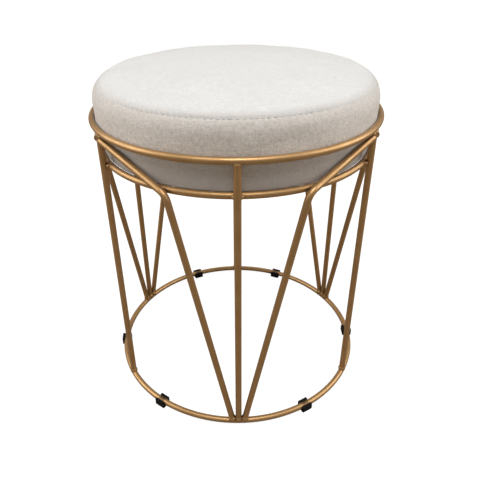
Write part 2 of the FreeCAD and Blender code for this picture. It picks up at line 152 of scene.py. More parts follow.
class PoufFinishSettings(bpy.types.PropertyGroup):
    """Colours of the finishes."""

    gold: colour("Gold", "Main colour of the painted bars", (0.65, 0.394, 0.171))
    gold_deep: colour("Deep gold", "Darker drifts in the paint", (0.535, 0.302, 0.113))
    velvet_top: colour("Velvet, top", "Top panel where its pile stands up", (0.875, 0.865, 0.85))
    velvet_top_deep: colour("Deep velvet, top", "Top panel where it is brushed", (0.80, 0.785, 0.765))
    # Painted light: the side band's warmer tone beside the top panel's stands in for how light falls on
    # the side; the cloth is the same
    velvet_side: colour("Velvet, side", "Side band where its pile stands up", (0.98, 0.91, 0.84))
    velvet_side_deep: colour("Deep velvet, side", "Side band where it is brushed", (0.865, 0.785, 0.70))
    # Painted shade: the darker colour both panels take where they roll into the seam
    velvet_seam_shade: colour("Velvet, edge", "Both panels where they roll into the seam", (0.79, 0.75, 0.705))
    thread: colour("Thread", "Colour of the sewing thread", (0.82, 0.80, 0.77))
    glide: colour("Glide", "Colour of the glides", (0.005, 0.0045, 0.0045))
    glide_worn: colour("Worn glide", "Colour of the glides where they are scuffed", (0.035, 0.032, 0.03))
    lining: colour("Lining", "Colour of the lining under the seat", (0.02, 0.02, 0.021))
    board: colour("Board", "Colour of the seat board", (0.52, 0.36, 0.2))
    staple: colour("Staple", "Colour of the staple wire", (0.62, 0.62, 0.6))


class PoufStageSettings(bpy.types.PropertyGroup):
    """Camera, lights and floor of the studio."""

    camera_place: bpy.props.FloatVectorProperty(
        name="Camera place",
        description="Where the camera stands",
        default=(-0.0051, -0.6441, 0.5782),
        size=3,
        subtype="TRANSLATION",
        unit="LENGTH",
    )
    camera_turn: bpy.props.FloatVectorProperty(
        name="Camera turn",
        description="How far the camera looks right, down, and leans",
        default=(-0.0080, 0.5341, -0.0143),
        size=3,
        subtype="EULER",
        unit="ROTATION",
    )
    lens: bpy.props.FloatProperty(
        name="Lens",
        description="Focal length on the camera's sensor, in millimetres",
        default=38.24,
        min=10.0,
    )
    lens_shift: bpy.props.FloatVectorProperty(
        name="Lens shift",
        description="How far the picture's middle is off the lens's, as shares of its width",
        default=(0.0220, -0.0180),
        size=2,
    )
    side_power: power("Side lights", "Power of the light on each side", 14.5)
    front_power: power("Front light", "Power of the light above the camera", 12.5)
    floor_glow: amount("Floor glow", "How much of the floor's brightness shadows leave untouched", 0.93)
    floor: colour("Floor", "Colour of the light that the floor throws back", (0.25, 0.215, 0.18))
    surround_high: colour("Surround above", "Light from straight overhead", (0.52, 0.52, 0.52))
    surround_low: colour("Surround below", "Light from the sides", (0.22, 0.21, 0.20))


# Shader node helpers

# Places of the colour sockets on Blender's Mix node
MIX_FIRST = 6
MIX_SECOND = 7
MIX_RESULT = 2


def add_node(tree, kind, values=None, **choices):
    """A new node with its sockets and choices set."""
    node = tree.nodes.new(kind)
    for name, choice in choices.items():
        setattr(node, name, choice)
    for name, value in (values or {}).items():
        node.inputs[name].default_value = value
    return node


def feed(tree, source, socket):
    """Joins a socket to a number, a colour or another node's output."""
    if isinstance(source, bpy.types.NodeSocket):
        tree.links.new(source, socket)
    else:
        socket.default_value = source


def object_place(tree):
    """The surface's place in metres, which the patterns are drawn in."""
    return add_node(tree, "ShaderNodeTexCoord").outputs["Object"]


def upward_part(tree, vector):
    """The part of a place or a direction that points up."""
    apart = add_node(tree, "ShaderNodeSeparateXYZ")
    tree.links.new(vector, apart.inputs["Vector"])
    return apart.outputs["Z"]


def noise_pattern(tree, place, scale, detail=2.0, stretch=None):
    """Cloudy noise from 0 to 1; scale is clouds per metre, given as a number or as a socket."""
    if stretch is not None:
        mapping = add_node(tree, "ShaderNodeMapping")
        feed(tree, stretch, mapping.inputs["Scale"])
        tree.links.new(place, mapping.inputs["Vector"])
        place = mapping.outputs["Vector"]
    cloud = add_node(tree, "ShaderNodeTexNoise", {"Detail": detail})
    tree.links.new(place, cloud.inputs["Vector"])
    feed(tree, scale, cloud.inputs["Scale"])
    return cloud.outputs["Fac"]


def reckon(tree, operation, first, second, clamp=False):
    """One sum on two numbers or sockets."""
    node = add_node(tree, "ShaderNodeMath", operation=operation, use_clamp=clamp)
    feed(tree, first, node.inputs[0])
    feed(tree, second, node.inputs[1])
    return node.outputs[0]


def spread_range(tree, source, low, high, to_low=0.0, to_high=1.0):
    """Stretches the part of a pattern between two values over a new range."""
    node = add_node(tree, "ShaderNodeMapRange", {"From Min": low, "From Max": high}, clamp=True)
    feed(tree, source, node.inputs["Value"])
    feed(tree, to_low, node.inputs["To Min"])
    feed(tree, to_high, node.inputs["To Max"])
    return node.outputs["Result"]


def mix_colours(tree, share, first, second):
    """A mix of two colours; share 0 is all the first."""
    node = add_node(tree, "ShaderNodeMix", data_type="RGBA")
    feed(tree, share, node.inputs["Factor"])
    feed(tree, first, node.inputs[MIX_FIRST])
    feed(tree, second, node.inputs[MIX_SECOND])
    return node.outputs[MIX_RESULT]


def dimmed(shade, share):
    """A colour at a share of its brightness, which may be above 1."""
    return (*(share * part for part in shade[:3]), 1.0)


def new_group(name, inputs, outputs):
    """An empty shader node group with named sockets, and its input and output nodes."""
    group = bpy.data.node_groups.new(name, "ShaderNodeTree")
    for label, kind, default in inputs:
        socket = group.interface.new_socket(label, in_out="INPUT", socket_type=f"NodeSocket{kind}")
        socket.default_value = default
    for label, kind in outputs:
        group.interface.new_socket(label, in_out="OUTPUT", socket_type=f"NodeSocket{kind}")
    return group, add_node(group, "NodeGroupInput").outputs, add_node(group, "NodeGroupOutput").inputs


def place_group(tree, group, values):
    """Puts a node group in a material with its own values."""
    return add_node(tree, "ShaderNodeGroup", values, node_tree=group).outputs


def new_material(name, sockets):
    """A material with one shader whose plain values are set, its tree and that shader."""
    material = bpy.data.materials.new(name)
    material.use_nodes = True
    shader = material.node_tree.nodes["Principled BSDF"]
    for socket, value in sockets.items():
        shader.inputs[socket].default_value = value
    return material, material.node_tree, shader


def raise_height(tree, shader, height, distance, strength=1.0):
    """Turns a height pattern into relief of a real depth."""
    bump = add_node(tree, "ShaderNodeBump", {"Strength": strength, "Distance": distance})
    tree.links.new(height, bump.inputs["Height"])
    tree.links.new(bump.outputs["Normal"], shader.inputs["Normal"])


# Effects that materials share

def cloud_tint_group():
    """Two colours mixed in broad drifts with finer grain in them."""
    name = "Cloud tint"
    if name in bpy.data.node_groups:
        return bpy.data.node_groups[name]
    group, given, result = new_group(
        name,
        [
            ("Main", "Color", (0.8, 0.8, 0.8, 1.0)),
            ("Drift", "Color", (0.5, 0.5, 0.5, 1.0)),
            ("Drift scale", "Float", 30.0),
            ("Grain scale", "Float", 300.0),
            ("Grain share", "Float", 0.4),
        ],
        [("Color", "Color"), ("Mask", "Float")],
    )
    place = object_place(group)
    drift = noise_pattern(group, place, given["Drift scale"], detail=3.0)
    grain = noise_pattern(group, place, given["Grain scale"], detail=3.0)
    broad = spread_range(group, drift, low=0.32, high=0.68)
    fine = spread_range(group, grain, low=0.3, high=0.7)
    fine_part = reckon(group, "MULTIPLY", fine, given["Grain share"])
    rest = reckon(group, "SUBTRACT", 1.0, given["Grain share"])
    broad_part = reckon(group, "MULTIPLY", broad, rest)
    mask = reckon(group, "ADD", fine_part, broad_part, clamp=True)
    group.links.new(mix_colours(group, mask, given["Main"], given["Drift"]), result["Color"])
    group.links.new(mask, result["Mask"])
    return group


def skin_group():
    """Roughness drift and a fine pebbled height, for paint and moulded plastic."""
    name = "Coated skin"
    if name in bpy.data.node_groups:
        return bpy.data.node_groups[name]
    group, given, result = new_group(
        name,
        [
            ("Pebble scale", "Float", 700.0),
            ("Drift scale", "Float", 60.0),
            ("Least roughness", "Float", 0.25),
            ("Most roughness", "Float", 0.4),
        ],
        [("Roughness", "Float"), ("Height", "Float")],
    )
    place = object_place(group)
    drift = noise_pattern(group, place, given["Drift scale"], detail=4.0)
    rough = spread_range(group, drift, 0.3, 0.7, given["Least roughness"], given["Most roughness"])
    pebble = noise_pattern(group, place, given["Pebble scale"], detail=1.0)
    group.links.new(rough, result["Roughness"])
    group.links.new(pebble, result["Height"])
    return group


def fibre_group():
    """Height and shade of short fibres, for pile, felt and thread."""
    name = "Fibres"
    if name in bpy.data.node_groups:
        return bpy.data.node_groups[name]
    group, given, result = new_group(
        name,
        [("Fibre scale", "Float", 1400.0), ("Clump scale", "Float", 260.0)],
        [("Shade", "Float"), ("Height", "Float")],
    )
    fibre_share = 0.45
    place = object_place(group)
    fibre = noise_pattern(group, place, given["Fibre scale"], detail=2.0, stretch=(1.0, 1.0, 0.45))
    clump = noise_pattern(group, place, given["Clump scale"], detail=4.0)
    fibre_part = reckon(group, "MULTIPLY", fibre, fibre_share)
    clump_part = reckon(group, "MULTIPLY", clump, 1.0 - fibre_share)
    height = reckon(group, "ADD", fibre_part, clump_part)
    group.links.new(spread_range(group, height, low=0.34, high=0.66), result["Shade"])
    group.links.new(height, result["Height"])
    return group


def weave_group():
    """Shade and height of two sets of uneven threads that cross each other."""
    name = "Uneven weave"
    if name in bpy.data.node_groups:
        return bpy.data.node_groups[name]
    group, given, result = new_group(
        name,
        [("Warp", "Vector", (500.0, 500.0, 150.0)), ("Weft", "Vector", (150.0, 150.0, 500.0))],
        [("Shade", "Float"), ("Height", "Float")],
    )
    place = object_place(group)
    warp = noise_pattern(group, place, scale=1.0, detail=2.0, stretch=given["Warp"])
    weft = noise_pattern(group, place, scale=1.0, detail=2.0, stretch=given["Weft"])
    height = reckon(group, "MULTIPLY", reckon(group, "ADD", warp, weft), 0.5)
    group.links.new(spread_range(group, height, low=0.36, high=0.64), result["Shade"])
    group.links.new(height, result["Height"])
    return group


# Finishes

# Painted shade in the glides' clips and in nooks: reaches in metres, and shares
CLIP_REACH = 0.0068
CLIP_FADE = 0.001
CLIP_SHADE_SHARE = 0.85
NOOK_REACH = 0.006
NOOK_SAMPLES = 8
NOOK_DARK = 0.35
NOOK_UNSHADED = 0.9
NOOK_SHADE = 0.35

# Velvet: threads per metre along X, Y and Z, and shares; the last two set the painted shade low down
FLAT_THREADS = {"Warp": (420.0, 130.0, 130.0), "Weft": (130.0, 420.0, 130.0)}
HUNG_THREADS = {"Warp": (600.0, 600.0, 210.0), "Weft": (225.0, 225.0, 740.0)}
WEAVE_SHARE = 0.85
LOW_SHADE_SHARE = 0.9
LOW_SHADE_DIM = 0.54


def clip_shade_mask(tree):
    """Where the bar lies in the clip of a glide, from 0 to 1; the mask for the painted shade there."""
    place = object_place(tree)
    inside = 0.0
    for name in GLIDES:
        low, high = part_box(name)
        apart = add_node(tree, "ShaderNodeVectorMath", operation="DISTANCE")
        tree.links.new(place, apart.inputs[0])
        apart.inputs[1].default_value = (low + high) / 2
        near = spread_range(tree, apart.outputs["Value"], CLIP_REACH, CLIP_REACH + CLIP_FADE, 1.0, 0.0)
        inside = reckon(tree, "MAXIMUM", inside, near)
    return inside


def gold_paint(finish, name, pebble_scale, relief):
    """Satin gold metallic paint with a slight peel, with painted shade in its nooks and in the glides'
    clips.
    """
    material, tree, shader = new_material(
        name, {"Metallic": 0.8, "Coat Weight": 0.4, "Coat Roughness": 0.32}
    )
    tint = place_group(
        tree,
        cloud_tint_group(),
        {
            "Main": finish.gold,
            "Drift": finish.gold_deep,
            "Drift scale": 45.0,
            "Grain scale": 2600.0,
            "Grain share": 0.35,
        },
    )
    skin = place_group(
        tree,
        skin_group(),
        {
            "Pebble scale": pebble_scale,
            "Drift scale": 90.0,
            "Least roughness": 0.36,
            "Most roughness": 0.48,
        },
    )
    # Painted shade: the paint turns dark where occlusion finds a nook and where the bar lies in a glide's
    # clip
    nook = add_node(tree, "ShaderNodeAmbientOcclusion", {"Distance": NOOK_REACH}, samples=NOOK_SAMPLES)
    unshaded = spread_range(tree, nook.outputs["AO"], NOOK_DARK, NOOK_UNSHADED)
    clip_shade = reckon(tree, "MULTIPLY", clip_shade_mask(tree), CLIP_SHADE_SHARE)
    unshaded = reckon(tree, "SUBTRACT", unshaded, clip_shade, clamp=True)
    painted_shade = dimmed(finish.gold_deep, NOOK_SHADE)
    tree.links.new(mix_colours(tree, unshaded, painted_shade, tint["Color"]), shader.inputs["Base Color"])
    tree.links.new(skin["Roughness"], shader.inputs["Roughness"])
    raise_height(tree, shader, skin["Height"], distance=relief)
    return material


def glide_plastic(finish):
    """Black moulded plastic, scuffed grey where it meets the floor."""
    material, tree, shader = new_material("glide_plastic", {"Specular IOR Level": 0.22})
    skin = place_group(
        tree,
        skin_group(),
        {"Pebble scale": 2200.0, "Drift scale": 300.0, "Least roughness": 0.42, "Most roughness": 0.62},
    )
    place = object_place(tree)
    low = spread_range(tree, upward_part(tree, place), low=0.0002, high=0.0022, to_low=1.0, to_high=0.0)
    scratch = noise_pattern(tree, place, scale=1500.0, detail=3.0, stretch=(1.0, 0.25, 1.0))
    scuff = spread_range(tree, scratch, low=0.45, high=0.62)
    worn = reckon(tree, "MULTIPLY", low, scuff)
    tree.links.new(mix_colours(tree, worn, finish.glide, finish.glide_worn), shader.inputs["Base Color"])
    tree.links.new(skin["Roughness"], shader.inputs["Roughness"])
    raise_height(tree, shader, skin["Height"], distance=0.00006)
    return material


def velvet(name, colours, threads, contrast, seam_shade_span):
    """Short-pile cloth on uneven threads: brushed in patches, with painted shade low down and where it
    rolls into the seam.
    """
    upright, brushed, seam_shade = colours
    material, tree, shader = new_material(
        name,
        {
            "Roughness": 0.92,
            "Specular IOR Level": 0.12,
            "Sheen Weight": 0.6,
            "Sheen Roughness": 0.42,
            "Sheen Tint": (1.0, 0.975, 0.94, 1.0),
        },
    )
    tint = place_group(
        tree,
        cloud_tint_group(),
        {
            "Main": upright,
            "Drift": brushed,
            "Drift scale": 22.0,
            "Grain scale": 420.0,
            "Grain share": 0.45,
        },
    )
    pile = place_group(tree, fibre_group(), {"Fibre scale": 1500.0, "Clump scale": 420.0})
    weave = place_group(tree, weave_group(), threads)
    height = upward_part(tree, object_place(tree))
    # Painted shade: both panels darken towards the seam, where they roll into it
    far, near = (SEAM_HEIGHT + offset for offset in seam_shade_span)
    seam_shade_share = spread_range(tree, height, far, near)
    ground = mix_colours(tree, seam_shade_share, tint["Color"], seam_shade)
    thread_share = reckon(tree, "MULTIPLY", weave["Shade"], WEAVE_SHARE)
    shaded = mix_colours(tree, thread_share, ground, dimmed(brushed, contrast))
    # Painted shade: the cloth darkens from the top ring down to its underside, where the ring and the
    # pad's bulge shade it
    drawn = spread_range(tree, height, SEAT_BASE, RING_HEIGHT, LOW_SHADE_SHARE, 0.0)
    painted_low_shade = dimmed(brushed, LOW_SHADE_DIM)
    tree.links.new(mix_colours(tree, drawn, shaded, painted_low_shade), shader.inputs["Base Color"])
    relief = reckon(tree, "SUBTRACT", pile["Height"], weave["Height"])
    raise_height(tree, shader, relief, distance=0.0008, strength=0.6)
    return material


def velvet_top(finish):
    """The top panel's cloth, whose threads lie level."""
    colours = (finish.velvet_top, finish.velvet_top_deep, finish.velvet_seam_shade)
    return velvet("velvet_top", colours, FLAT_THREADS, contrast=0.93, seam_shade_span=(0.005, 0.003))


def velvet_side(finish):
    """The side band's cloth, whose threads run up and round."""
    colours = (finish.velvet_side, finish.velvet_side_deep, finish.velvet_seam_shade)
    return velvet("velvet_side", colours, HUNG_THREADS, contrast=0.71, seam_shade_span=(-0.018, 0.0))


def sewing_thread(finish):
    """Twisted sewing thread."""
    material, tree, shader = new_material("sewing_thread", {"Roughness": 0.7, "Sheen Weight": 0.2})
    pile = place_group(tree, fibre_group(), {"Fibre scale": 3200.0, "Clump scale": 900.0})
    dark = dimmed(finish.thread, share=0.7)
    tree.links.new(mix_colours(tree, pile["Shade"], finish.thread, dark), shader.inputs["Base Color"])
    raise_height(tree, shader, pile["Height"], distance=0.0001)
    return material


def lining_felt(finish):
    """Thin black bonded felt with its grid of bonding dots."""
    material, tree, shader = new_material("lining_felt", {"Roughness": 0.85, "Specular IOR Level": 0.25})
    place = object_place(tree)
    dots = add_node(
        tree, "ShaderNodeTexVoronoi", {"Scale": 620.0, "Randomness": 0.12}, voronoi_dimensions="2D"
    )
    tree.links.new(place, dots.inputs["Vector"])
    pressed = spread_range(tree, dots.outputs["Distance"], low=0.16, high=0.3)
    pile = place_group(tree, fibre_group(), {"Fibre scale": 2600.0, "Clump scale": 240.0})
    pale = dimmed(finish.lining, share=2.6)
    shade = reckon(tree, "MULTIPLY", pile["Shade"], pressed)
    tree.links.new(mix_colours(tree, shade, finish.lining, pale), shader.inputs["Base Color"])
    relief = reckon(tree, "MULTIPLY", reckon(tree, "ADD", pressed, pile["Height"]), 0.5)
    raise_height(tree, shader, relief, distance=0.00015)
    return material


def staple_wire(finish):
    """Bright galvanised staple wire."""
    material, tree, shader = new_material("staple_zinc", {"Metallic": 1.0})
    tint = place_group(
        tree,
        cloud_tint_group(),
        {
            "Main": finish.staple,
            "Drift": dimmed(finish.staple, share=0.6),
            "Drift scale": 220.0,
            "Grain scale": 2400.0,
            "Grain share": 0.5,
        },
    )
    skin = place_group(
        tree,
        skin_group(),
        {"Pebble scale": 3000.0, "Drift scale": 500.0, "Least roughness": 0.25, "Most roughness": 0.5},
    )
    tree.links.new(tint["Color"], shader.inputs["Base Color"])
    tree.links.new(skin["Roughness"], shader.inputs["Roughness"])
    raise_height(tree, shader, skin["Height"], distance=0.00002)
    return material


def board_wood(finish):
    """Sanded plywood with long straight grain."""
    material, tree, shader = new_material("board_wood", {"Roughness": 0.6})
    grain = noise_pattern(tree, object_place(tree), scale=120.0, detail=5.0, stretch=(0.06, 1.0, 1.0))
    share = spread_range(tree, grain, low=0.35, high=0.65)
    dark = dimmed(finish.board, share=0.6)
    tree.links.new(mix_colours(tree, share, finish.board, dark), shader.inputs["Base Color"])
    raise_height(tree, shader, grain, distance=0.0001)
    return material


def dress(names, material):
    """Gives CAD nodes a finish in place of the one they came with."""
    for name in names:
        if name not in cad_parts:
            raise RuntimeError(f"the packed model has no node {name}")
        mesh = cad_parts[name].data
        mesh.materials.clear()
        mesh.materials.append(material)


# Seat shapes

# Points in the cover's rows, and the radii where the top panel's rows get fewer
OUTER_COUNT = 840
INNER_COUNT = 168
CENTRE_COUNT = 24
MIDDLE_RADIUS = 0.105
CENTRE_RADIUS = 0.03

# Points on the crown's line, and rows of the backings
CROWN_POINTS = 240
TOP_BACKING_ROWS = 14
HEM_BACKING_ROWS = 5
SIDE_BACKING_ROWS = 12

# How far towards the crown's middle the top panel's rows run, as shares
FORM_REACH = 0.97
FACE_REACH = 0.96
BACKING_REACH = 0.9

# How the panels' edges lie in the seam, in metres
SEAM_PART = 0.00002
SEAM_LIP = 0.00008
SEAM_ALLOWANCE = 0.005
SEAM_BACKING = 0.008
FINE_STEP = 0.00035

# How unevenly the seam is drawn in round the pad
PULL_RATE = 2.4
PULL_LEAST = 0.2
PULL_MIDDLE = 0.6
PULL_SWING = 1.2
SEAM_SEED = Vector((76.5, 0.0, 40.5))

# How unevenly puckers and pleats come, and how far from the corner pleats have their full depth
PUCKER_MIDDLE = 0.8
PUCKER_SWING = 0.7
PUCKER_SHIFT = 2.2
PLEAT_SHIFT = 3.0
PLEAT_SHARPNESS = 3
PLEAT_START = 0.01

# How far apart the patterns of two seeds lie
LUMP_SHIFT = (3.1, 5.7, 1.3)

# Lumps in the stuffed cover: waves per metre, and distances in metres
LOOSE_LUMPS = 28.0
LOOSE_LUMPS_CLEAR = 0.02
FACE_LUMPS = 34.0
FACE_LUMPS_CLEAR = 0.015
RING_REACH = 0.012

# One stitch: its line as shares of pitch and girth, its sides, and its sizes in metres
STITCH_LINE = ((-0.40, 0.35), (-0.34, 0.8), (0.0, 1.0), (0.34, 0.8), (0.40, 0.35))
STITCH_SINK = 0.0004
STITCH_SLANT = 0.0005
STITCH_BOW = 0.00025
STITCH_SIDES = 6
THREAD_RADIUS = 0.00042

# The lining: points and rows, radii in metres, and shares of its radius
LINING_COUNT = 192
LINING_CENTRE_COUNT = 24
LINING_ROWS = 34
LINING_CENTRE_RADIUS = 0.05
LINING_MIDDLE_RADII = (0.006, 0.012)
LINING_FIRST_RADIUS = 0.02
LINING_LAST = 0.98
LINING_HELD = 0.94

# The lining's staples, and its heights in metres and creases per metre
STAPLE_COUNT = 24
RIPPLE_HEIGHT = 0.0004
CREASE_HEIGHT = 0.0005
CREASES = 45.0

# A length that counts as none
TINY = 1e-9


def turns(number):
    """Angles of evenly spaced points once round."""
    return np.linspace(0.0, 2 * math.pi, number, endpoint=False)


def steps_to(start, end, steps):
    """Even steps from a start to an end, without the start."""
    return np.linspace(start, end, steps + 1)[1:]


def outline(radius, height):
    """Points of the cover's outer line; either value may be one number for all of them."""
    return np.stack(np.broadcast_arrays(radius, height), axis=1)


class CoverProfile:
    """The cover's outer line from the crown's middle to the hem, measured along it from the seam."""

    REACH = 0.0006

    def __init__(self, seat):
        edge = seat.edge_radius
        edge_r = SEAT_RADIUS - edge
        edge_z = SEAM_HEIGHT - edge * math.sin(seat.seam_turn)
        rise = CROWN_HEIGHT - edge_z - edge
        dome = (edge_r ** 2 + rise ** 2) / (2 * rise)
        waist_r = SEAT_RADIUS - seat.waist_inset
        waist_z = SEAT_BASE + seat.waist_height
        swell_z = SEAT_BASE + seat.swell_height
        corner = seat.hem_corner
        corner_r = waist_r - corner
        corner_z = SEAT_BASE + corner
        out = np.linspace(0.0, edge_r, CROWN_POINTS)
        turn = steps_to(math.pi / 2, 0.0, steps=90)
        share = steps_to(0.0, 1.0, steps=40)
        ease = share * share * (3 - 2 * share)
        low_turn = steps_to(0.0, math.pi / 2, steps=20)
        taper_r = SEAT_RADIUS + (waist_r - SEAT_RADIUS) * ease
        taper_z = swell_z + (waist_z - swell_z) * share
        stretches = {
            "crown": outline(out, CROWN_HEIGHT - dome + np.sqrt(dome ** 2 - out ** 2)),
            "edge": outline(edge_r + edge * np.cos(turn), edge_z + edge * np.sin(turn)),
            "side": outline(SEAT_RADIUS, steps_to(edge_z, swell_z, steps=40)),
            "taper": outline(taper_r, taper_z),
            "straight": outline(waist_r, steps_to(waist_z, corner_z, steps=30)),
            "corner": outline(corner_r + corner * np.cos(low_turn), corner_z - corner * np.sin(low_turn)),
            "hem": outline(steps_to(corner_r, waist_r - seat.hem_width, steps=40), SEAT_BASE),
        }
        self.points = np.concatenate(list(stretches.values()))
        belly = np.clip((self.points[:, 1] - swell_z) / (SEAM_HEIGHT - swell_z), 0.0, 1.0)
        self.points[:, 0] += seat.bulge * np.sin(belly * math.pi)
        steps = np.linalg.norm(np.diff(self.points, axis=0), axis=1)
        along = np.concatenate([[0.0], np.cumsum(steps)])
        lasts = np.cumsum([len(stretch) for stretch in stretches.values()]) - 1
        ends = dict(zip(stretches, lasts))
        seam = along[ends["crown"]] + edge * (math.pi / 2 - seat.seam_turn)
        self.along = along - seam
        self.crown = self.along[0]
        self.corner = self.along[ends["straight"]]
        self.hem = self.along[ends["corner"]]
        self.end = self.along[-1]

    def place(self, distance):
        """Radius and height at a distance from the seam."""
        return np.array([np.interp(distance, self.along, self.points[:, axis]) for axis in (0, 1)])

    def facing(self, distance):
        """The outward direction at a distance from the seam."""
        ahead = self.place(min(distance + self.REACH, self.end))
        behind = self.place(max(distance - self.REACH, self.crown))
        run = (ahead - behind) / np.linalg.norm(ahead - behind)
        return np.array([-run[1], run[0]])


def round_row(radius, height, number):
    """Points of one closed row round the seat's axis."""
    turn = turns(number)
    return np.stack(
        [radius * np.sin(turn), -radius * np.cos(turn), np.broadcast_to(height, number)], axis=1
    )


def outward(facing, number):
    """The outward direction of each point of a row."""
    return round_row(facing[0], facing[1], number)


def strip_faces(first, first_count, second, second_count):
    """Faces between two closed rows; one row has a whole number of points for each of the other's."""
    if first_count == 1:
        return [(first, second + n, second + (n + 1) % second_count) for n in range(second_count)]
    if second_count == 1:
        return [(first + n, second, first + (n + 1) % first_count) for n in range(first_count)]
    faces = []
    fewer = min(first_count, second_count)
    first_step = first_count // fewer
    second_step = second_count // fewer
    for n in range(fewer):
        near = [first + (n * first_step + k) % first_count for k in range(first_step + 1)]
        far = [second + (n * second_step + k) % second_count for k in range(second_step + 1)]
        faces.append((near[0], *far, *reversed(near[1:])))
    return faces


def smooth_piece(name, points, faces):
    """A new smooth-shaded piece in the scene."""
    mesh = bpy.data.meshes.new(name)
    mesh.from_pydata(points, [], faces)
    mesh.polygons.foreach_set("use_smooth", [True] * len(mesh.polygons))
    mesh.update()
    piece = bpy.data.objects.new(name, mesh)
    bpy.context.scene.collection.objects.link(piece)
    return piece


def mesh_from_rows(name, rows, closed=False):
    """A piece through rows of points; a closed one joins its last row to its first."""
    starts = np.cumsum([0] + [len(row) for row in rows])
    faces = []
    joins = [(n, n + 1) for n in range(len(rows) - 1)]
    if closed:
        joins.append((len(rows) - 1, 0))
    for near, far in joins:
        faces += strip_faces(int(starts[near]), len(rows[near]), int(starts[far]), len(rows[far]))
    return smooth_piece(name, np.concatenate(rows).tolist(), faces)


def joined_rows_mesh(name, row_sets):
    """One piece of many small closed tubes."""
    points = []
    faces = []
    for rows in row_sets:
        start = len(points)
        size = len(rows[0])
        for row in rows:
            points += row.tolist()
        for near in range(len(rows) - 1):
            faces += strip_faces(start + near * size, size, start + (near + 1) * size, size)
        faces.append(tuple(start + k for k in reversed(range(size))))
        faces.append(tuple(start + (len(rows) - 1) * size + k for k in range(size)))
    return smooth_piece(name, points, faces)


def graded(start, end, fine, coarse, growth):
    """Distances from start to end whose steps grow from fine to coarse."""
    way = 1.0 if end > start else -1.0
    longest_last = 1.6
    places = [start]
    step = fine
    while abs(end - places[-1]) > longest_last * step:
        places.append(places[-1] + way * step)
        step = min(step * growth, coarse)
    places.append(end)
    return places


def lumps(points, rate, seed):
    """Smooth unevenness from -1 to 1 at each point."""
    shift = Vector([seed * part for part in LUMP_SHIFT])
    return np.array([noise.noise(Vector(point) * rate + shift) for point in points])


def drift_round(turn, rate, seed):
    """Smooth unevenness from -1 to 1 at each angle, which closes on itself."""
    return np.array(
        [noise.noise(Vector((math.sin(angle) * rate, math.cos(angle) * rate, seed))) for angle in turn]
    )


def curve_between(before, near, far, after, part):
    """A smooth curve's value at a part of the way from near to far."""
    bend = 2 * before - 5 * near + 4 * far - after
    twist = 3 * (near - far) + after - before
    return near + 0.5 * part * (far - before + part * (bend + part * twist))


